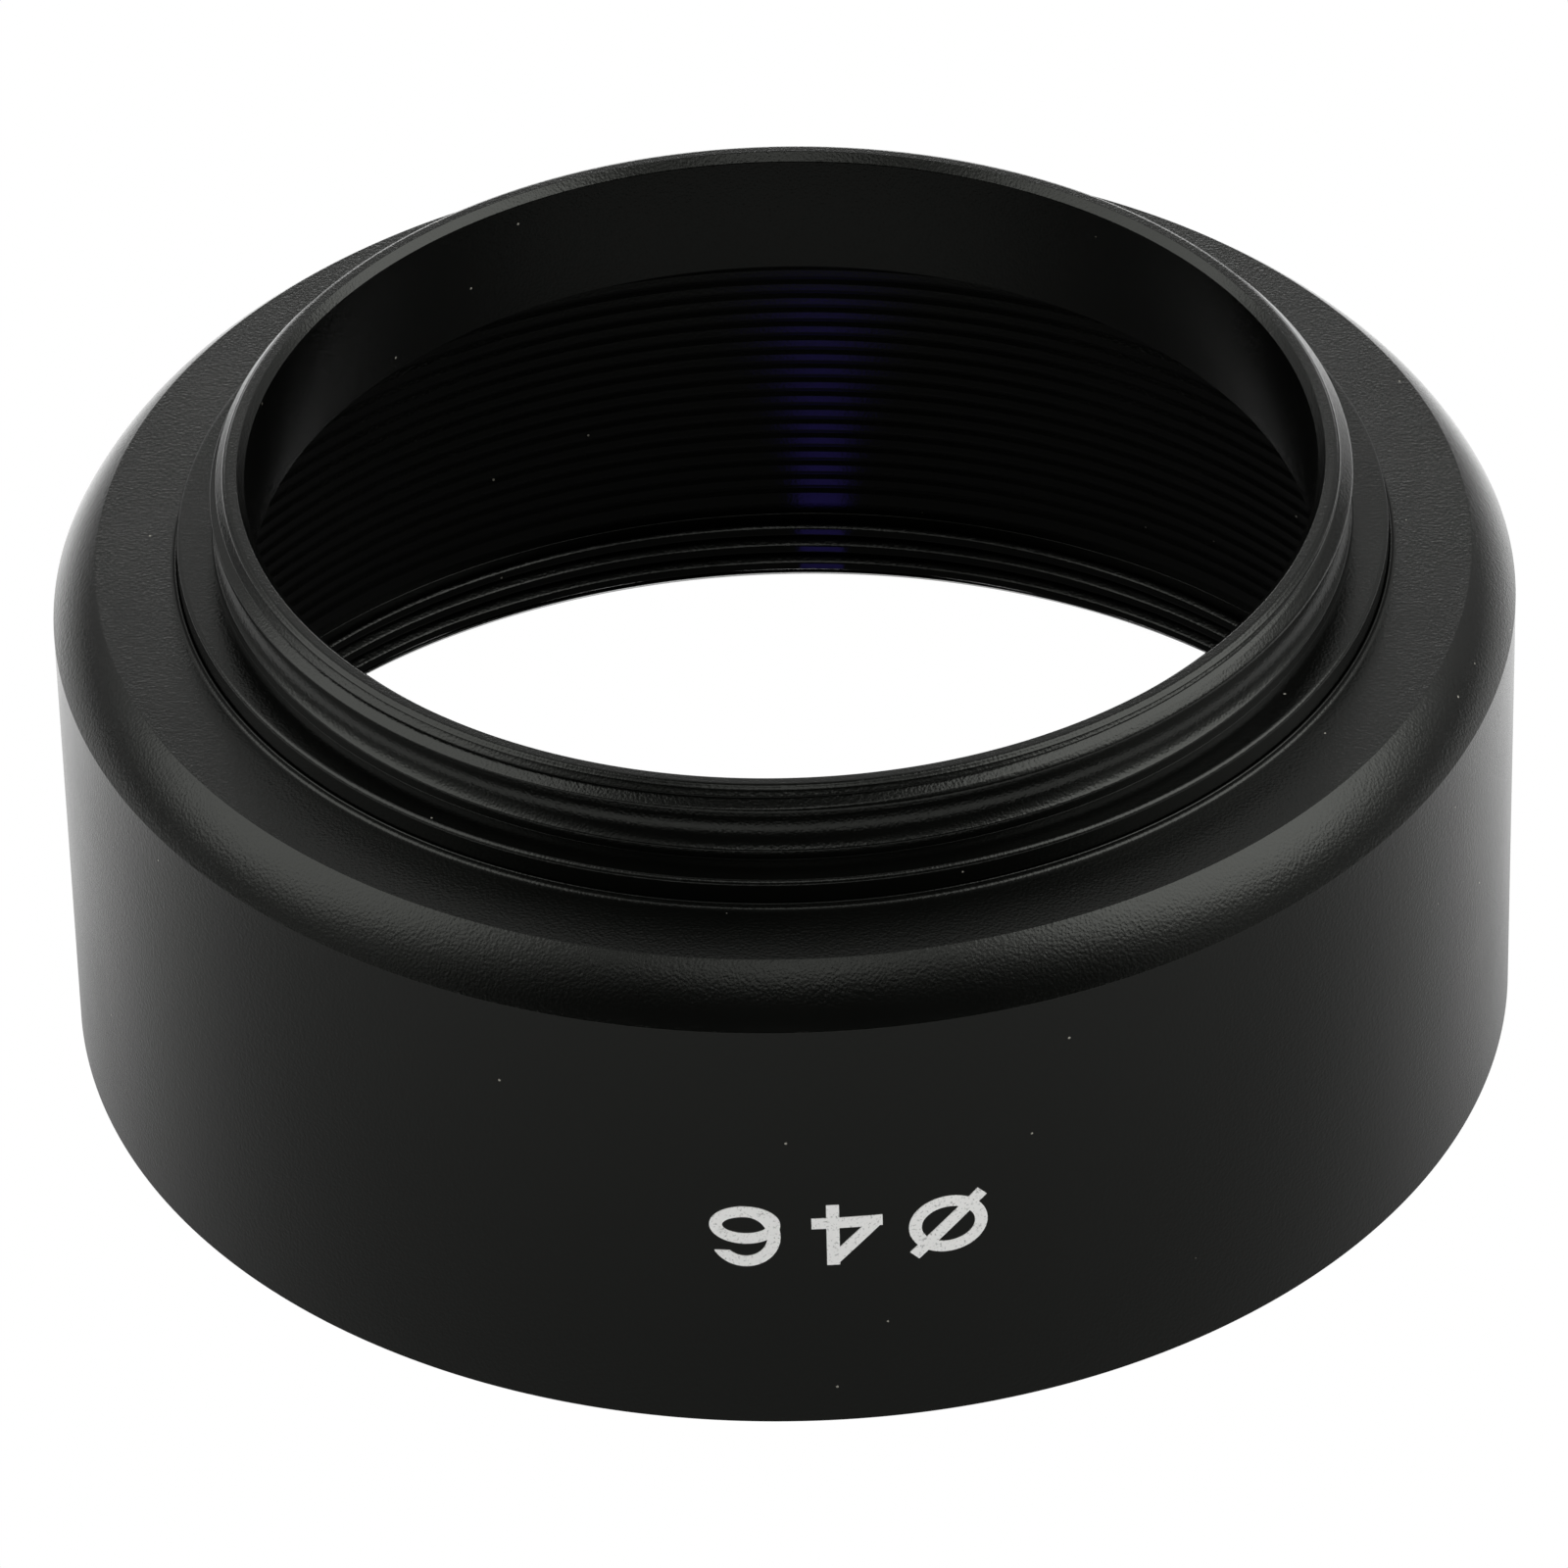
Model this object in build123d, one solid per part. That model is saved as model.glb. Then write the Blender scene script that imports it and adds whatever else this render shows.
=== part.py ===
"""Screw-in lens hood: a turned barrel, the threaded mount ring seated in its top plate, and a printed size.

Millimetres. The wide mouth stands on z = 0 and the mount ring points up, on the +Z axis.
The printed size faces -Y. Both threads are right-handed, M38 x 0.75 outside and M46 x 0.75 inside.
"""

import os
from math import atan2, ceil, cos, degrees, radians, sin, sqrt, tan

from build123d import *

# Barrel, from the mouth up
BARREL_R = 24.45
MOUTH_EDGE_BREAK = 0.10
SHOULDER_LOW_Z = 16.12
SHOULDER_TOP_R = 22.97
SHOULDER_BULGE = 0.143
PLATE_TOP_Z = 17.96
PLATE_UNDERSIDE_Z = 16.85
LIP_R = 20.31
LIP_TOP_Z = 18.15
LIP_FILLET_R = 0.18

# Chamber inside the barrel
CHAMBER_R = 22.85
CHAMBER_FILLET_R = 0.60
GROOVE_ROOT_R = 22.93
GROOVE_WIDTH = 0.35
GROOVE_PITCH = 0.60
GROOVE_COUNT = 21
FIRST_GROOVE_Z = 3.90

# Front filter thread, inside the mouth
FRONT_MINOR_R = 22.60
FRONT_MAJOR_R = 23.00
FRONT_THREAD_TOP_Z = 2.65
FRONT_RELIEF_R = 23.10
FRONT_RELIEF_TOP_Z = 3.25
MOUTH_CHAMFER = 0.50
FRONT_START_ANGLE = 120.0
FRONT_GROOVE_Z = 1.14

# Seat for the mount ring, in the top plate
SEAT_R = 20.23
SEAT_FLOOR_Z = 17.45
SPIGOT_HOLE_R = 19.42

# Mount ring
RIM_Z = 21.50
BORE_R = 17.82
BORE_CHAMFER = 0.26
RIM_OUTER_R = 18.42
THREAD_R = 19.00
RIM_CHAMFER_LOW_Z = 20.87
CREST_LOW_Z = 20.50
RELIEF_R = 18.58
RELIEF_Z = 20.16
RELIEF_TOP_Z = 20.40
RELIEF_ARC_R = 1.20
FLANGE_TOP_Z = 18.93
FLANGE_R = 20.20
FLANGE_EDGE_R = 0.20
SPIGOT_R = 19.40

# Lens thread on the mount ring
LENS_ROOT_R = 18.59
LENS_START_ANGLE = -90.0
LENS_GROOVE_Z = 21.13
THREAD_PITCH = 0.75
THREAD_HALF_ANGLE = 30.0

# Printed size
INK_THICKNESS = 0.03
STROKE = 0.42
CAP_HEIGHT = 2.45
BASELINE_Z = 9.07
SIGN_WIDTH = 2.60
FIGURE_WIDTH = 2.30
MARK_ANGLE = -86.5
LETTER_STEP = 3.30


def turned(section, rounded):
    """Round the named corners of a half section in radius and height, and revolve it about the Z axis."""
    for corner, radius in rounded.items():
        vertex = section.vertices().sort_by_distance(corner)[0]
        section = fillet(vertex, radius)
    return revolve(Plane.XZ * section, Axis.Z)


def thread_groove(mouth_r, root_r, mark_angle, mark_z, low_z, high_z):
    """A right-hand V groove, open at mouth_r and sharp at root_r, whose root passes mark_z at mark_angle."""
    half_width = abs(mouth_r - root_r) * tan(radians(THREAD_HALF_ANGLE))
    path = Helix(pitch=THREAD_PITCH, height=high_z - low_z, radius=root_r)
    corners = [(root_r, 0), (mouth_r, half_width), (mouth_r, -half_width)]
    section = Plane.XZ * make_face(Polyline(*corners, close=True))
    groove = sweep(section, path=path, is_frenet=True)
    turn = mark_angle - 360.0 * (mark_z - low_z) / THREAD_PITCH
    return Pos(0, 0, low_z) * Rot(0, 0, turn) * groove


def threaded(body, mouth_r, root_r, mark_angle, mark_z, low_z, high_z):
    """Cut the groove in lengths of under one turn, end to end, so that each cut stays simple."""
    lengths = ceil((high_z - low_z) / (THREAD_PITCH * 0.85))
    step = (high_z - low_z) / lengths
    for count in range(lengths):
        start = low_z + step * count
        body = body - thread_groove(mouth_r, root_r, mark_angle, mark_z, start, start + step)
    return body


def shoulder():
    """The rounded corner between the barrel and the flat top, a shallow arc with crisp ends."""
    low = Vector(BARREL_R, SHOULDER_LOW_Z)
    top = Vector(SHOULDER_TOP_R, PLATE_TOP_Z)
    chord = top - low
    outward = Vector(chord.Y, -chord.X).normalized()
    middle = (low + top) * 0.5 + outward * SHOULDER_BULGE
    return ThreePointArc(low, middle, top)


def chamber_wall():
    """The inside wall from the plate's underside down to the mouth, with its light-trapping grooves."""
    points = [(CHAMBER_R, PLATE_UNDERSIDE_Z)]
    for count in reversed(range(GROOVE_COUNT)):
        z = FIRST_GROOVE_Z + GROOVE_PITCH * count
        points.append((CHAMBER_R, z + GROOVE_WIDTH / 2))
        points.append((GROOVE_ROOT_R, z))
        points.append((CHAMBER_R, z - GROOVE_WIDTH / 2))
    points.append((CHAMBER_R, FRONT_RELIEF_TOP_Z))
    points.append((FRONT_RELIEF_R, FRONT_RELIEF_TOP_Z))
    points.append((FRONT_RELIEF_R, FRONT_THREAD_TOP_Z))
    points.append((FRONT_MINOR_R, FRONT_THREAD_TOP_Z))
    points.append((FRONT_MINOR_R, MOUTH_CHAMFER))
    points.append((FRONT_MINOR_R + MOUTH_CHAMFER, 0))
    return points


def hood_shell():
    """The turned barrel with its top plate, ring seat, chamber grooves and front filter thread."""
    top = [
        (SHOULDER_TOP_R, PLATE_TOP_Z),
        (LIP_R, PLATE_TOP_Z),
        (LIP_R, LIP_TOP_Z),
        (SEAT_R, LIP_TOP_Z),
        (SEAT_R, SEAT_FLOOR_Z),
        (SPIGOT_HOLE_R, SEAT_FLOOR_Z),
        (SPIGOT_HOLE_R, PLATE_UNDERSIDE_Z),
    ]
    outside = [
        (BARREL_R - MOUTH_EDGE_BREAK, 0),
        (BARREL_R, MOUTH_EDGE_BREAK),
        (BARREL_R, SHOULDER_LOW_Z),
    ]
    inner_line = Polyline(*top, *chamber_wall(), *outside)
    section = make_face([shoulder().edge(), *inner_line.edges()])
    rounded = {
        (CHAMBER_R, PLATE_UNDERSIDE_Z): CHAMBER_FILLET_R,
        (LIP_R, PLATE_TOP_Z): LIP_FILLET_R,
    }
    shell = turned(section, rounded)
    return threaded(
        shell,
        FRONT_MINOR_R - 0.15,
        FRONT_MAJOR_R,
        FRONT_START_ANGLE,
        FRONT_GROOVE_Z,
        -THREAD_PITCH,
        FRONT_THREAD_TOP_Z + 0.30,
    )


def relief():
    """The rounded relief under the thread, from the collar's edge up to its deepest point."""
    arc_axis_r = RELIEF_R + RELIEF_ARC_R
    collar_top_z = RELIEF_Z - sqrt(RELIEF_ARC_R**2 - (arc_axis_r - THREAD_R) ** 2)
    halfway = atan2(RELIEF_Z - collar_top_z, arc_axis_r - THREAD_R) / 2
    middle = (arc_axis_r - RELIEF_ARC_R * cos(halfway), RELIEF_Z - RELIEF_ARC_R * sin(halfway))
    return ThreePointArc((THREAD_R, collar_top_z), middle, (RELIEF_R, RELIEF_Z))


def thread_mount_ring():
    """The turned ring that screws into the lens: rim, thread, rounded relief, collar, flange and spigot."""
    relief_arc = relief()
    points = [
        relief_arc @ 1,
        (RELIEF_R, RELIEF_TOP_Z),
        (THREAD_R, CREST_LOW_Z),
        (THREAD_R, RIM_CHAMFER_LOW_Z),
        (RIM_OUTER_R, RIM_Z),
        (BORE_R + BORE_CHAMFER, RIM_Z),
        (BORE_R, RIM_Z - BORE_CHAMFER),
        (BORE_R, PLATE_UNDERSIDE_Z),
        (SPIGOT_R, PLATE_UNDERSIDE_Z),
        (SPIGOT_R, SEAT_FLOOR_Z),
        (FLANGE_R, SEAT_FLOOR_Z),
        (FLANGE_R, FLANGE_TOP_Z),
        (THREAD_R, FLANGE_TOP_Z),
        relief_arc @ 0,
    ]
    section = make_face([relief_arc.edge(), *Polyline(*points).edges()])
    ring = turned(section, {(FLANGE_R, FLANGE_TOP_Z): FLANGE_EDGE_R})
    return threaded(
        ring,
        THREAD_R + 0.15,
        LENS_ROOT_R,
        LENS_START_ANGLE,
        LENS_GROOVE_Z,
        RELIEF_Z,
        RIM_Z + 0.20,
    )


def bar(start, end):
    """A straight stroke between two points."""
    line = Vector(*end) - Vector(*start)
    middle = (Vector(*end) + Vector(*start)) * 0.5
    slant = degrees(atan2(line.Y, line.X))
    return Pos(middle.X, middle.Y) * Rot(0, 0, slant) * Rectangle(line.length, STROKE)


def oval_ring(width, height):
    """An oval stroke of even width."""
    return Ellipse(width / 2, height / 2) - Ellipse(width / 2 - STROKE, height / 2 - STROKE)


def diameter_sign():
    """A round stroke crossed by a slanting bar."""
    reach = CAP_HEIGHT * 0.46
    slash = bar((-reach, -reach), (reach, reach))
    return oval_ring(SIGN_WIDTH, CAP_HEIGHT * 0.92) + slash


def figure_four():
    """An upright, a crossbar and a slope from the top of one to the left end of the other."""
    upright_x = FIGURE_WIDTH * 0.20
    crossbar_y = -CAP_HEIGHT * 0.20
    upright = bar((upright_x, -CAP_HEIGHT / 2), (upright_x, CAP_HEIGHT / 2))
    crossbar = bar((-FIGURE_WIDTH / 2, crossbar_y), (FIGURE_WIDTH / 2, crossbar_y))
    slope = bar((-FIGURE_WIDTH * 0.42, crossbar_y), (upright_x, CAP_HEIGHT / 2 - STROKE * 0.45))
    return (upright + crossbar + slope) & Rectangle(FIGURE_WIDTH, CAP_HEIGHT)


def figure_six():
    """A closed bowl under a hook."""
    bowl_height = CAP_HEIGHT * 0.62
    bowl = Pos(0, (bowl_height - CAP_HEIGHT) / 2) * oval_ring(FIGURE_WIDTH, bowl_height)
    opening = Pos(FIGURE_WIDTH / 2, -CAP_HEIGHT * 0.26) * Rectangle(FIGURE_WIDTH, CAP_HEIGHT)
    return (oval_ring(FIGURE_WIDTH, CAP_HEIGHT) - opening) + bowl


def size_mark():
    """The diameter sign and two figures in ink on the barrel, upside down when the mouth is below."""
    ink_skin = Cylinder(BARREL_R + INK_THICKNESS, CAP_HEIGHT * 2) - Cylinder(BARREL_R, CAP_HEIGHT * 2)
    ink_skin = Pos(0, 0, BASELINE_Z - CAP_HEIGHT / 2) * ink_skin
    step = degrees(LETTER_STEP / BARREL_R)
    strokes = []
    for place, glyph in enumerate([diameter_sign(), figure_four(), figure_six()]):
        angle = MARK_ANGLE + step * (1 - place)
        out = Vector(cos(radians(angle)), sin(radians(angle)), 0)
        across = Vector(sin(radians(angle)), -cos(radians(angle)), 0)
        centre = out * (BARREL_R - 1.0) + Vector(0, 0, BASELINE_Z - CAP_HEIGHT / 2)
        face_plane = Plane(origin=centre, x_dir=across, z_dir=out)
        block = extrude(face_plane * glyph, 2.0)
        strokes.extend((block & ink_skin).solids())
    return Compound(children=strokes)


NODES = {
    "hood_shell": hood_shell,
    "thread_mount_ring": thread_mount_ring,
    "size_mark": size_mark,
}

os.makedirs("parts", exist_ok=True)
for name, build in NODES.items():
    export_step(build(), os.path.join("parts", name + ".step"))
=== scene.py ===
"""A screw-in lens hood of black anodised aluminium on a plain pale floor, in soft studio light.

The two turned pieces are rebuilt on the CAD frame as fine lathe meshes with broken edges and real helical
threads, and the printed size keeps its CAD shape. Lengths are written in millimetres and built in metres.
"""

import math

import bpy
import numpy as np
from mathutils import Matrix, Vector


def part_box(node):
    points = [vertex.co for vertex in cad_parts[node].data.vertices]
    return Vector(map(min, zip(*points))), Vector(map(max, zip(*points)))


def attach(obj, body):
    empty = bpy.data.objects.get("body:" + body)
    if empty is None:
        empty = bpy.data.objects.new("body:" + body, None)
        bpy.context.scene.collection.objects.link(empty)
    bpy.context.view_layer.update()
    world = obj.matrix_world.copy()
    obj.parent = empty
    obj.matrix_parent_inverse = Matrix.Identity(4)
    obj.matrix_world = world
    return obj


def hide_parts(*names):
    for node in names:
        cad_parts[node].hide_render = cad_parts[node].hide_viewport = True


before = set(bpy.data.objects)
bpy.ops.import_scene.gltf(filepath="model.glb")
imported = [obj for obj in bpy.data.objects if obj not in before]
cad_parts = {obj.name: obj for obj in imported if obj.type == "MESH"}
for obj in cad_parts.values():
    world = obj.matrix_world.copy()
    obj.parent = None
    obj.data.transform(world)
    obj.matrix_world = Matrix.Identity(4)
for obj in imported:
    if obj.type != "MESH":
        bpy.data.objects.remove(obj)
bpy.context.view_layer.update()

MM = 0.001
AROUND = 360  # columns of faces around the axis

# Sizes that the frame gives, in millimetres
shell_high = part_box("hood_shell")[1]
ring_low, ring_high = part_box("thread_mount_ring")
BARREL_R = shell_high.x / MM
LIP_TOP_Z = shell_high.z / MM
RIM_Z = ring_high.z / MM
PLATE_UNDERSIDE_Z = ring_low.z / MM
FLANGE_R = ring_high.x / MM

# Heights that hang from the rim and radii inside the pieces, in millimetres
PLATE_TOP_Z = RIM_Z - 3.54
SHOULDER_LOW_Z = RIM_Z - 5.38
SHOULDER_TOP_R = BARREL_R - 1.48
SHOULDER_BULGE = 0.143
MOUTH_EDGE_BREAK = 0.10
LIP_R = FLANGE_R + 0.11
SEAT_R = FLANGE_R + 0.03
SEAT_FLOOR_Z = RIM_Z - 4.05
SPIGOT_HOLE_R = 19.42
CHAMBER_R = BARREL_R - 1.60
CHAMBER_FILLET_R = 0.60
CHAMBER_GROOVE_DEPTH = 0.08
CHAMBER_GROOVE_WIDTH = 0.35
CHAMBER_GROOVE_PITCH = 0.60
CHAMBER_GROOVES = 21
FIRST_CHAMBER_GROOVE_Z = 3.90
FRONT_RELIEF_R = CHAMBER_R + 0.25
FRONT_RELIEF_Z = (2.65, 3.25)
FRONT_MINOR_R = CHAMBER_R - 0.25
FRONT_MAJOR_R = CHAMBER_R + 0.15
MOUTH_CHAMFER = 0.50
FRONT_GROOVE_Z = 1.14
FRONT_START_ANGLE = 120.0
BORE_R = 17.82
BORE_CHAMFER = 0.26
RIM_OUTER_R = 18.42
RIM_CHAMFER_LOW_Z = RIM_Z - 0.63
THREAD_R = 19.00
CREST_LOW_Z = RIM_Z - 1.00
LENS_GROOVE_Z = RIM_Z - 0.37
LENS_START_ANGLE = -90.0
LENS_ROOT_R = 18.59
RELIEF_R = 18.58
RELIEF_Z = RIM_Z - 1.34
RELIEF_TOP_Z = RIM_Z - 1.10
RELIEF_ARC_R = 1.20
FLANGE_TOP_Z = RIM_Z - 2.57
SPIGOT_R = 19.40
PITCH = 0.75
THREAD_SLOPE = 1.0 / math.tan(math.radians(30.0))
FRONT_THREAD_STEP = 0.04
LENS_THREAD_STEP = 0.010
CREST_BLUR = 0.045
EDGE_BLUR = 0.015
SHARP_EDGE = 0.03  # edge breaks smaller than this get one step, which their smooth shading rounds

# Finish, with lengths in millimetres
ANODISED_COLOUR = (0.0008, 0.0009, 0.0007)
ANODISED_IOR = 1.42
ANODISED_TINT = (0.97, 1.0, 0.93, 1)
CLOUD_SIZE = 6.0
DUST_SPACING = 1.8
DUST_RADIUS = 0.05
DUST_COLOUR = (0.30, 0.29, 0.25, 1)
INK_GRAIN = 0.09
INK_BUMP = 0.004

# The floor that the camera sees, and the two that light the object, in millimetres
SEEN_FLOOR_R = 3000
SEEN_FLOOR_Z = -0.06
LIT_FLOOR_R = 2500
LIT_FLOOR_Z = -0.04
INSIDE_FLOOR_Z = -0.03

# Where the floor's brightness changes, in metres: from front to back, outwards, and inside the hood
FRONT_TO_BACK_Y = (-0.024, 0.060)
NEAR_TO_FAR_R = (0.022, 0.110)
INSIDE_BACK_TO_FRONT_Y = (0.010, -0.010)

# Brightness of the floor and the studio as the object sees them, and the dark part ahead of it. The floor's
# dim front is a painted shadow of the hood, its bright back is painted light, and the floor inside the mouth
# is painted shade.
FLOOR_FRONT_PAINTED_SHADOW = 0.27
FLOOR_BACK_PAINTED_LIGHT = 2.6
FLOOR_FAR = 0.82
# Painted shade: the floor inside the hood glows only dimly, darkest at the back.
INSIDE_BACK_PAINTED_SHADE = 0.05
INSIDE_FRONT_PAINTED_SHADE = 0.24
VIOLET = (0.16, 0.10, 1.0)
VIOLET_POWER = 0.0000046
VIOLET_SIZE = (1.5, 9.8)
VIOLET_SPREAD = math.radians(60)
VIOLET_PLACE = (1.06, 19.6, 4.1)
VIOLET_BACKWARD = Vector((-0.09, -0.80, -0.60))
SKY = 0.50
SKY_AHEAD = 0.03
DARK_INNER = math.radians(44)
DARK_OUTER = math.radians(68)
HORIZON_BAND = math.radians(16)
ZENITH_START = math.radians(62)
ZENITH_END = math.radians(80)
SKY_OVERHEAD = 0.05
LIGHT_DISTANCE = 1.2

# Camera, with lengths in millimetres
CAMERA_ELEVATION = math.radians(36.67)
CAMERA_ROLL = math.radians(-1.478)
CAMERA_DISTANCE = 393.8
CAMERA_TARGET = (-0.172, 0, 7.80)
CAMERA_LENS = 266.7


# ---------------------------------------------------------------- turned meshes


def eased(corners, arc_steps):
    """The outline with each corner (radius, height, edge break) turned into a small arc."""
    points = []
    count = len(corners)
    for i, (r, z, ease) in enumerate(corners):
        here = Vector((r, z))
        if ease <= 0:
            points.append((r, z))
            continue
        before = (Vector(corners[i - 1][:2]) - here).normalized()
        after = (Vector(corners[(i + 1) % count][:2]) - here).normalized()
        half = before.angle(after) / 2
        back = ease / math.tan(half)
        centre = here + (before + after).normalized() * ease / math.sin(half)
        start = here + before * back - centre
        sweep = start.angle_signed(here + after * back - centre)
        steps = 1 if ease < SHARP_EDGE else arc_steps
        for step in range(steps + 1):
            arm = start.copy()
            arm.rotate(Matrix.Rotation(-sweep * step / steps, 2))
            points.append(tuple(centre + arm))
    return points


def turned_grid(outline):
    """Every outline point carried round the axis: an array of outline point, column, and x, y, z in mm."""
    angle = np.arange(AROUND) * 2 * math.pi / AROUND
    r, z = np.array(outline).T
    grid = np.empty((len(outline), AROUND, 3))
    grid[:, :, 0] = r[:, None] * np.cos(angle)
    grid[:, :, 1] = r[:, None] * np.sin(angle)
    grid[:, :, 2] = z[:, None]
    return grid


def blurred(rows, reach_mm, step):
    """Rows of radii smoothed along the outline over about reach_mm, with the two ends held."""
    reach = int(3 * reach_mm / step) + 1
    weights = np.exp(-0.5 * (np.arange(-reach, reach + 1) * step / reach_mm) ** 2)
    weights /= weights.sum()
    padded = np.concatenate([rows[:1]] * reach + [rows] + [rows[-1:]] * reach)
    return sum(w * padded[i : i + len(rows)] for i, w in enumerate(weights))


def threaded_grid(outline, step, root_r, mark_angle, mark_z, inside):
    """A stretch of outline, given as (radius, height), in even steps of height with a V groove wound into it.

    The groove's root passes mark_z at mark_angle, in degrees. inside is True for a nut's thread.
    The outline's own corners are rounded more than the groove's edges.
    """
    r_known, z_known = np.array(outline).T
    down = z_known[-1] < z_known[0]
    count = int(round(abs(z_known[-1] - z_known[0]) / step)) + 1
    z = np.linspace(z_known[0], z_known[-1], count)
    plain = np.interp(-z if down else z, -z_known if down else z_known, r_known)
    plain = blurred(plain, CREST_BLUR, step)
    angle = np.arange(AROUND) * 2 * math.pi / AROUND
    turns = (angle - math.radians(mark_angle)) / (2 * math.pi)
    offset = z[:, None] - (mark_z + PITCH * turns[None, :])
    offset -= PITCH * np.round(offset / PITCH)
    rise = np.abs(offset) * THREAD_SLOPE
    if inside:
        r = np.maximum(plain[:, None], root_r - rise)
    else:
        r = np.minimum(plain[:, None], root_r + rise)
    r = blurred(r, EDGE_BLUR, step)
    grid = np.empty((count, AROUND, 3))
    grid[:, :, 0] = r * np.cos(angle)
    grid[:, :, 1] = r * np.sin(angle)
    grid[:, :, 2] = z[:, None]
    return grid


def lathe_object(name, grid):
    """A closed mesh from a grid that wraps round both ways, shaded from its own true slopes."""
    rows, columns, _ = grid.shape
    along = np.roll(grid, -1, 0) - np.roll(grid, 1, 0)
    around = np.roll(grid, -1, 1) - np.roll(grid, 1, 1)
    normals = np.cross(around, along)
    normals /= np.linalg.norm(normals, axis=2, keepdims=True)
    index = np.arange(rows * columns).reshape(rows, columns)
    right = np.roll(index, -1, 1)
    faces = np.stack([index, right, np.roll(right, -1, 0), np.roll(index, -1, 0)], 2).reshape(-1, 4)
    mesh = bpy.data.meshes.new(name)
    mesh.from_pydata((grid.reshape(-1, 3) * MM).tolist(), [], faces.tolist())
    mesh.polygons.foreach_set("use_smooth", [True] * len(faces))
    mesh.normals_split_custom_set_from_vertices(normals.reshape(-1, 3).tolist())
    mesh.update()
    piece = bpy.data.objects.new(name, mesh)
    bpy.context.scene.collection.objects.link(piece)
    return piece


def shoulder_points(count=16):
    """The shallow arc from the flat top down to the barrel, as corners without an edge break."""
    top = Vector((SHOULDER_TOP_R, PLATE_TOP_Z))
    low = Vector((BARREL_R, SHOULDER_LOW_Z))
    chord = low - top
    outward = Vector((-chord.y, chord.x)).normalized()
    half = chord.length / 2
    radius = (half**2 + SHOULDER_BULGE**2) / (2 * SHOULDER_BULGE)
    points = []
    for step in range(1, count):
        x = half * (2 * step / count - 1)
        bulge = math.sqrt(radius**2 - x**2) - (radius - SHOULDER_BULGE)
        point = (top + low) / 2 + chord.normalized() * x + outward * bulge
        points.append((point.x, point.y, 0))
    return points


def chamber_wall():
    """The inside wall from the plate down to the relief groove, with its light-trapping grooves."""
    corners = [(CHAMBER_R, PLATE_UNDERSIDE_Z, CHAMBER_FILLET_R)]
    for i in reversed(range(CHAMBER_GROOVES)):
        z = FIRST_CHAMBER_GROOVE_Z + CHAMBER_GROOVE_PITCH * i
        corners.append((CHAMBER_R, z + CHAMBER_GROOVE_WIDTH / 2, 0.02))
        corners.append((CHAMBER_R + CHAMBER_GROOVE_DEPTH, z, 0.02))
        corners.append((CHAMBER_R, z - CHAMBER_GROOVE_WIDTH / 2, 0.02))
    corners.append((CHAMBER_R, FRONT_RELIEF_Z[1], 0.02))
    corners.append((FRONT_RELIEF_R, FRONT_RELIEF_Z[1], 0.03))
    corners.append((FRONT_RELIEF_R, FRONT_RELIEF_Z[0], 0.03))
    return corners


def make_shell():
    """The barrel: shoulder, flat top with the ring's seat, grooved chamber and front filter thread."""
    top = [
        (SHOULDER_TOP_R, PLATE_TOP_Z, 0.05),
        (LIP_R, PLATE_TOP_Z, 0.15),
        (LIP_R, LIP_TOP_Z, 0.02),
        (SEAT_R, LIP_TOP_Z, 0.02),
        (SEAT_R, SEAT_FLOOR_Z, 0.02),
        (SPIGOT_HOLE_R, SEAT_FLOOR_Z, 0.03),
        (SPIGOT_HOLE_R, PLATE_UNDERSIDE_Z, 0.05),
    ]
    outside = [
        (BARREL_R - MOUTH_EDGE_BREAK, 0, 0.03),
        (BARREL_R, MOUTH_EDGE_BREAK, 0.05),
        (BARREL_R, SHOULDER_LOW_Z, 0.05),
    ]
    outside += list(reversed(shoulder_points()))
    thread_top = FRONT_RELIEF_Z[0]
    before = eased(top + chamber_wall() + [(FRONT_MINOR_R, thread_top, 0)] + outside, 4)
    split = before.index((FRONT_MINOR_R, thread_top))
    thread = [
        (FRONT_MINOR_R, thread_top - 0.01),
        (FRONT_MINOR_R, MOUTH_CHAMFER),
        (FRONT_MINOR_R + MOUTH_CHAMFER - 0.02, 0.02),
    ]
    wound = threaded_grid(
        thread, FRONT_THREAD_STEP, FRONT_MAJOR_R, FRONT_START_ANGLE, FRONT_GROOVE_Z, True
    )
    first = turned_grid(before[: split + 1])
    last = turned_grid([(FRONT_MINOR_R + MOUTH_CHAMFER + 0.02, 0)] + before[split + 1 :])
    return lathe_object("hood_shell_turned", np.concatenate([first, wound, last]))


def relief_points(count=14):
    """The rounded relief from the collar's edge up to its deepest point, as corners without an edge break."""
    first = math.asin(1 - (THREAD_R - RELIEF_R) / RELIEF_ARC_R)
    points = []
    for step in range(count):
        tilt = first + (math.pi / 2 - first) * step / count
        r = RELIEF_R + RELIEF_ARC_R * (1 - math.sin(tilt))
        points.append((r, RELIEF_Z - RELIEF_ARC_R * math.cos(tilt), 0))
    return points + [(RELIEF_R, RELIEF_Z, 0)]


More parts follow.
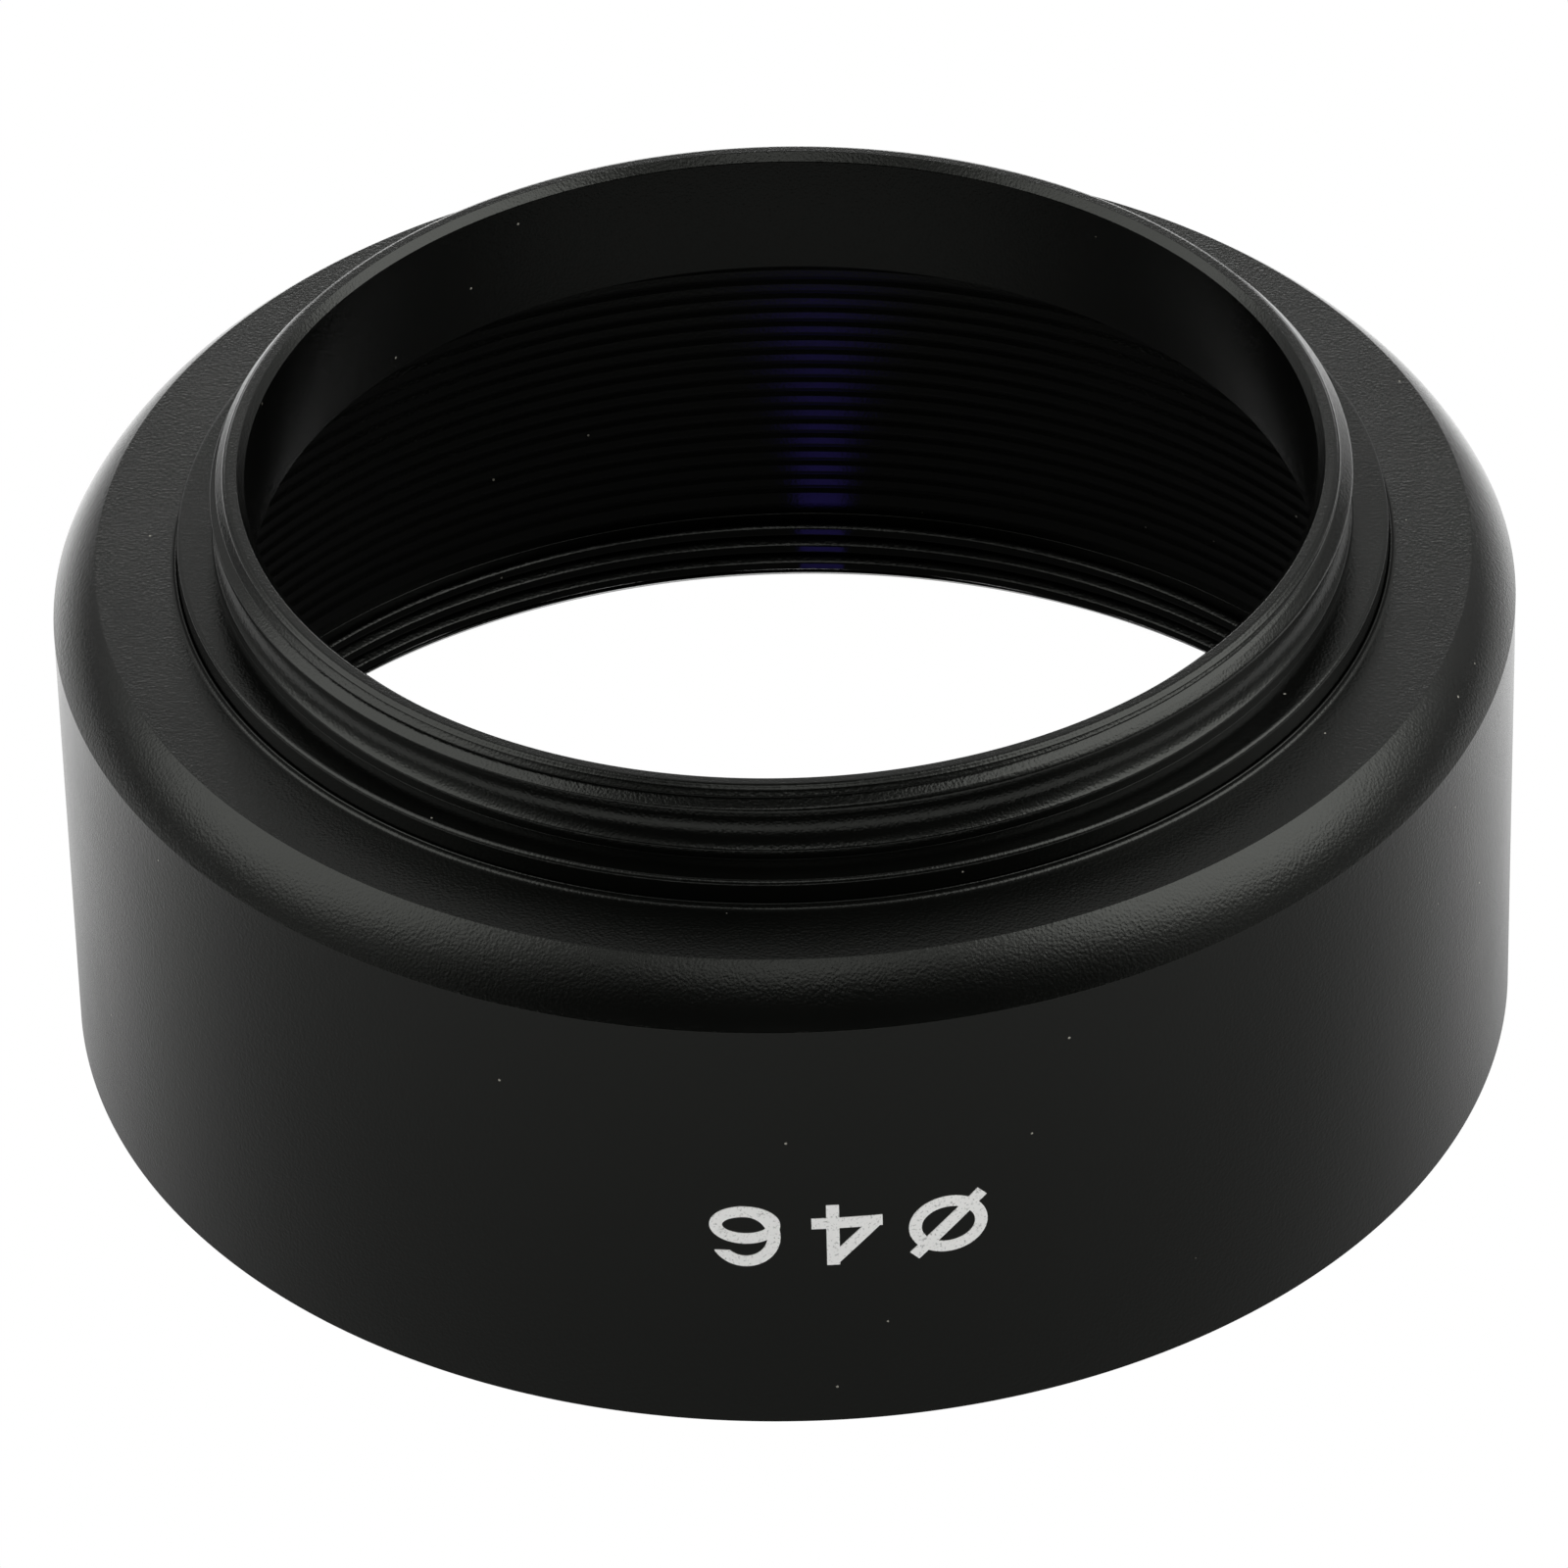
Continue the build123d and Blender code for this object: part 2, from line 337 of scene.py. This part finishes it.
def make_ring():
    """The mount ring: spigot, flange, plain collar, relief, helical lens thread, rim and bore."""
    lower = [
        (BORE_R, PLATE_UNDERSIDE_Z, 0.06),
        (SPIGOT_R, PLATE_UNDERSIDE_Z, 0.05),
        (SPIGOT_R, SEAT_FLOOR_Z, 0.02),
        (FLANGE_R, SEAT_FLOOR_Z, 0.05),
        (FLANGE_R, FLANGE_TOP_Z, 0.16),
        (THREAD_R, FLANGE_TOP_Z, 0.01),
        *relief_points(),
        (RIM_OUTER_R + 0.10, RIM_Z - 0.11, 0),
        (RIM_OUTER_R, RIM_Z, 0.18),
        (BORE_R + BORE_CHAMFER, RIM_Z, 0.04),
        (BORE_R, RIM_Z - BORE_CHAMFER, 0.05),
    ]
    points = eased(lower, 6)
    split = points.index((RELIEF_R, RELIEF_Z))
    thread = [
        (RELIEF_R, RELIEF_Z + 0.01),
        (RELIEF_R, RELIEF_TOP_Z),
        (THREAD_R, CREST_LOW_Z),
        (THREAD_R, RIM_CHAMFER_LOW_Z),
        (RIM_OUTER_R + 0.11, RIM_Z - 0.12),
    ]
    wound = threaded_grid(
        thread, LENS_THREAD_STEP, LENS_ROOT_R, LENS_START_ANGLE, LENS_GROOVE_Z, False
    )
    grid = np.concatenate([turned_grid(points[: split + 1]), wound, turned_grid(points[split + 1 :])])
    return lathe_object("thread_mount_ring_turned", grid)


# ---------------------------------------------------------------- materials


def node(tree, kind, **settings):
    """A new node with its properties, and its input sockets by name, set."""
    made = tree.nodes.new(kind)
    for key, value in settings.items():
        if hasattr(made, key):
            setattr(made, key, value)
        else:
            made.inputs[key.replace("_", " ")].default_value = value
    return made


def ramp_of(tree, value, start, end, low, high):
    """A smooth change from low to high as value goes from start to end."""
    ramp = node(tree, "ShaderNodeMapRange", interpolation_type="SMOOTHSTEP")
    for socket, number in zip(("From Min", "From Max", "To Min", "To Max"), (start, end, low, high)):
        ramp.inputs[socket].default_value = number
    tree.links.new(value, ramp.inputs["Value"])
    return ramp.outputs["Result"]


def plain_material(name):
    """A material with an emptied tree, its shader and its output."""
    material = bpy.data.materials.new(name)
    material.use_nodes = True
    tree = material.node_tree
    tree.nodes.clear()
    shader = tree.nodes.new("ShaderNodeBsdfPrincipled")
    output = tree.nodes.new("ShaderNodeOutputMaterial")
    tree.links.new(shader.outputs["BSDF"], output.inputs["Surface"])
    return material, tree, shader


def anodised(name, colour, roughness, dimple_mm, dimple_height_mm):
    """Bead-blasted, black anodised aluminium: near-black satin, with fine dimples and specks of dust."""
    material, tree, shader = plain_material(name)
    link = tree.links.new
    place = node(tree, "ShaderNodeTexCoord").outputs["Object"]
    dimples = node(tree, "ShaderNodeTexVoronoi", feature="SMOOTH_F1", Scale=1 / (dimple_mm * MM))
    grain = node(tree, "ShaderNodeTexNoise", Scale=1 / (dimple_mm * MM), Detail=3.0, Roughness=0.65)
    cloud = node(tree, "ShaderNodeTexNoise", Scale=1 / (CLOUD_SIZE * MM), Detail=3.0, Roughness=0.55)
    dust = node(tree, "ShaderNodeTexVoronoi", Scale=1 / (DUST_SPACING * MM))
    for texture in (dimples, grain, cloud, dust):
        link(place, texture.inputs["Vector"])
    tint = node(tree, "ShaderNodeMix", data_type="RGBA")
    link(cloud.outputs["Fac"], tint.inputs["Factor"])
    tint.inputs["A"].default_value = (*[c * 0.85 for c in colour], 1)
    tint.inputs["B"].default_value = (*[c * 1.15 for c in colour], 1)
    speck_edge = DUST_RADIUS / DUST_SPACING
    dusty = node(tree, "ShaderNodeMix", data_type="RGBA")
    speck = ramp_of(tree, dust.outputs["Distance"], speck_edge * 0.7, speck_edge, 1.0, 0.0)
    link(speck, dusty.inputs["Factor"])
    link(tint.outputs["Result"], dusty.inputs["A"])
    dusty.inputs["B"].default_value = DUST_COLOUR
    link(dusty.outputs["Result"], shader.inputs["Base Color"])
    gloss = node(tree, "ShaderNodeMapRange", To_Min=roughness - 0.05, To_Max=roughness + 0.05)
    link(cloud.outputs["Fac"], gloss.inputs["Value"])
    link(gloss.outputs["Result"], shader.inputs["Roughness"])
    height = node(tree, "ShaderNodeMath", operation="ADD")
    link(dimples.outputs["Distance"], height.inputs[0])
    link(grain.outputs["Fac"], height.inputs[1])
    bump = node(tree, "ShaderNodeBump", Strength=1.0, Distance=dimple_height_mm * MM)
    link(height.outputs["Value"], bump.inputs["Height"])
    link(bump.outputs["Normal"], shader.inputs["Normal"])
    shader.inputs["IOR"].default_value = ANODISED_IOR
    shader.inputs["Specular Tint"].default_value = ANODISED_TINT
    return material


def ink():
    """Pad-printed white ink, matt, with a fine grain and a few pinholes."""
    material, tree, shader = plain_material("white_ink")
    link = tree.links.new
    place = node(tree, "ShaderNodeTexCoord").outputs["Object"]
    grain = node(tree, "ShaderNodeTexNoise", Scale=1 / (INK_GRAIN * MM), Detail=2.0, Roughness=0.6)
    link(place, grain.inputs["Vector"])
    ramp = node(tree, "ShaderNodeValToRGB")
    ramp.color_ramp.elements[0].position = 0.27
    ramp.color_ramp.elements[0].color = (0.38, 0.38, 0.37, 1)
    ramp.color_ramp.elements[1].position = 0.44
    ramp.color_ramp.elements[1].color = (0.88, 0.88, 0.86, 1)
    link(grain.outputs["Fac"], ramp.inputs["Fac"])
    link(ramp.outputs["Color"], shader.inputs["Base Color"])
    bump = node(tree, "ShaderNodeBump", Strength=0.6, Distance=INK_BUMP * MM)
    link(grain.outputs["Fac"], bump.inputs["Height"])
    link(bump.outputs["Normal"], shader.inputs["Normal"])
    shader.inputs["Roughness"].default_value = 0.6
    return material


# ---------------------------------------------------------------- the pieces

shell = make_shell()
shell.data.materials.append(anodised("anodised_shell", ANODISED_COLOUR, 0.25, 0.10, 0.008))
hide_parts("hood_shell")
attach(shell, "root")

ring = make_ring()
ring.data.materials.append(anodised("anodised_ring", ANODISED_COLOUR, 0.21, 0.09, 0.006))
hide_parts("thread_mount_ring")
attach(ring, "root")

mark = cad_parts["size_mark"]
mark.data.materials.clear()
mark.data.materials.append(ink())


# ---------------------------------------------------------------- floor, light and camera


def flat_piece(name, corners, height_mm, colour_socket):
    """A flat glowing surface just under the object."""
    mesh = bpy.data.meshes.new(name)
    mesh.from_pydata([(x * MM, y * MM, height_mm * MM) for x, y in corners], [], [range(len(corners))])
    surface = bpy.data.objects.new(name, mesh)
    bpy.context.scene.collection.objects.link(surface)
    material = bpy.data.materials.new(name)
    material.use_nodes = True
    tree = material.node_tree
    tree.nodes.clear()
    glow = tree.nodes.new("ShaderNodeEmission")
    colour_socket(tree, glow)
    tree.links.new(glow.outputs["Emission"], tree.nodes.new("ShaderNodeOutputMaterial").inputs["Surface"])
    mesh.materials.append(material)
    return surface


def disc_corners(radius, count=96):
    """The corners of a round surface."""
    turn = 2 * math.pi / count
    return [(radius * math.cos(turn * i), radius * math.sin(turn * i)) for i in range(count)]


def make_floor():
    """The plain white floor that the camera sees, and two floors that light the object in its place.

    The camera can't see those two. One is dim in front of the hood and bright behind it: a painted shadow of
    the hood in front and painted light behind. The other fills the mouth and is nearly dark, painted shade
    inside the hood.
    """

    def white(tree, glow):
        glow.inputs["Strength"].default_value = 1.0

    def outside(tree, glow):
        place = node(tree, "ShaderNodeTexCoord").outputs["Object"]
        split = node(tree, "ShaderNodeSeparateXYZ")
        tree.links.new(place, split.inputs["Vector"])
        reach = node(tree, "ShaderNodeVectorMath", operation="LENGTH")
        tree.links.new(place, reach.inputs[0])
        # Painted shadow of the hood in front, painted light behind it, and the plain far floor further out.
        near = ramp_of(tree, split.outputs["Y"], *FRONT_TO_BACK_Y, FLOOR_FRONT_PAINTED_SHADOW, FLOOR_BACK_PAINTED_LIGHT)
        far = ramp_of(tree, reach.outputs["Value"], *NEAR_TO_FAR_R, 0.0, 1.0)
        blend = node(tree, "ShaderNodeMix", data_type="FLOAT")
        blend.inputs["B"].default_value = FLOOR_FAR
        tree.links.new(near, blend.inputs["A"])
        tree.links.new(far, blend.inputs["Factor"])
        tree.links.new(blend.outputs["Result"], glow.inputs["Strength"])

    def inside(tree, glow):
        split = node(tree, "ShaderNodeSeparateXYZ")
        tree.links.new(node(tree, "ShaderNodeTexCoord").outputs["Object"], split.inputs["Vector"])
        # Painted shade inside the hood: a dim glow, darker towards the back.
        strength = ramp_of(tree, split.outputs["Y"], *INSIDE_BACK_TO_FRONT_Y, INSIDE_BACK_PAINTED_SHADE, INSIDE_FRONT_PAINTED_SHADE)
        tree.links.new(strength, glow.inputs["Strength"])

    seen = flat_piece("floor", disc_corners(SEEN_FLOOR_R), SEEN_FLOOR_Z, white)
    lit = flat_piece("floor_light", disc_corners(LIT_FLOOR_R), LIT_FLOOR_Z, outside)
    inner = flat_piece("floor_light_painted_shade_inside", disc_corners(CHAMBER_R), INSIDE_FLOOR_Z, inside)
    for surface in (lit, inner):
        surface.visible_camera = False
    seen.visible_diffuse = False
    seen.visible_glossy = False
    seen.visible_transmission = False


def make_world():
    """A white backdrop to the camera. To the object, a soft sky, dark ahead and overhead, dim low down."""
    world = bpy.data.worlds.new("studio")
    bpy.context.scene.world = world
    world.use_nodes = True
    tree = world.node_tree
    tree.nodes.clear()
    link = tree.links.new
    facing = node(tree, "ShaderNodeVectorMath", operation="DOT_PRODUCT")
    direction = node(tree, "ShaderNodeTexCoord").outputs["Generated"]
    link(direction, facing.inputs[0])
    facing.inputs[1].default_value = (0, -1, 0)
    split = node(tree, "ShaderNodeSeparateXYZ")
    link(direction, split.inputs["Vector"])
    shares = [
        ramp_of(tree, facing.outputs["Value"], math.cos(DARK_OUTER), math.cos(DARK_INNER), SKY, SKY_AHEAD),
        ramp_of(tree, split.outputs["Z"], 0.0, math.sin(HORIZON_BAND), 0.0, 1.0),
        ramp_of(tree, split.outputs["Z"], math.sin(ZENITH_START), math.sin(ZENITH_END), 1.0, SKY_OVERHEAD),
    ]
    strength = shares[0]
    for share in shares[1:]:
        product = node(tree, "ShaderNodeMath", operation="MULTIPLY")
        link(strength, product.inputs[0])
        link(share, product.inputs[1])
        strength = product.outputs["Value"]
    soft = node(tree, "ShaderNodeBackground")
    link(strength, soft.inputs["Strength"])
    white = node(tree, "ShaderNodeBackground", Strength=1.0)
    white.inputs["Color"].default_value = (1, 1, 1, 1)
    soft.inputs["Color"].default_value = (1, 1, 1, 1)
    mix = node(tree, "ShaderNodeMixShader")
    link(node(tree, "ShaderNodeLightPath").outputs["Is Camera Ray"], mix.inputs["Fac"])
    link(soft.outputs["Background"], mix.inputs[1])
    link(white.outputs["Background"], mix.inputs[2])
    link(mix.outputs["Shader"], node(tree, "ShaderNodeOutputWorld").inputs["Surface"])


def softbox(name, azimuth, elevation, half_angle, brightness):
    """A round soft light aimed at the object, placed and sized by the angles it fills as seen from there."""
    radius = LIGHT_DISTANCE * math.tan(math.radians(half_angle))
    light = bpy.data.lights.new(name, "AREA")
    light.shape = "DISK"
    light.size = 2 * radius
    light.energy = brightness * math.pi * math.pi * radius**2
    lamp = bpy.data.objects.new(name, light)
    bpy.context.scene.collection.objects.link(lamp)
    east, up = math.radians(azimuth), math.radians(elevation)
    outward = Vector((math.cos(up) * math.cos(east), math.cos(up) * math.sin(east), math.sin(up)))
    lamp.location = outward * LIGHT_DISTANCE
    lamp.rotation_euler = outward.to_track_quat("Z", "Y").to_euler()
    lamp.visible_camera = False
    return lamp


def violet_glow():
    """A dim violet light inside the hood, aimed up at the back wall."""
    light = bpy.data.lights.new("violet_glow", "AREA")
    light.shape = "RECTANGLE"
    light.size = VIOLET_SIZE[0] * MM
    light.size_y = VIOLET_SIZE[1] * MM
    light.spread = VIOLET_SPREAD
    light.color = VIOLET
    light.energy = VIOLET_POWER
    lamp = bpy.data.objects.new("violet_glow", light)
    bpy.context.scene.collection.objects.link(lamp)
    lamp.location = [length * MM for length in VIOLET_PLACE]
    lamp.rotation_euler = VIOLET_BACKWARD.to_track_quat("Z", "Y").to_euler()
    lamp.visible_camera = False


def make_camera():
    """A long lens from the front, 36.7 degrees above the floor, rolled a little."""
    forward = Vector((0, math.cos(CAMERA_ELEVATION), -math.sin(CAMERA_ELEVATION)))
    level = Vector((1, 0, 0))
    upward = Vector((0, math.sin(CAMERA_ELEVATION), math.cos(CAMERA_ELEVATION)))
    right = level * math.cos(CAMERA_ROLL) + upward * math.sin(CAMERA_ROLL)
    up = upward * math.cos(CAMERA_ROLL) - level * math.sin(CAMERA_ROLL)
    distance = CAMERA_DISTANCE * MM
    target = Vector([length * MM for length in CAMERA_TARGET])
    data = bpy.data.cameras.new("camera")
    data.lens = CAMERA_LENS
    data.sensor_width = 36.0
    data.clip_start = 0.01
    data.clip_end = 20.0
    camera = bpy.data.objects.new("camera", data)
    bpy.context.scene.collection.objects.link(camera)
    turn = Matrix((right, up, -forward)).transposed()
    camera.matrix_world = Matrix.Translation(target - forward * distance) @ turn.to_4x4()
    bpy.context.scene.camera = camera


make_floor()
make_world()
softbox("right_softbox", 1, 49, 26, 2.6)
softbox("left_softbox", 174, 45, 26, 1.6)
softbox("back_softbox", 90, 9, 14, 4.0)
softbox("overhead_softbox", -90, 62, 12, 1.2)
softbox("front_fill", -90, 12, 25, 2.4).visible_glossy = False
violet_glow()
make_camera()
bpy.context.scene.view_settings.view_transform = "Standard"
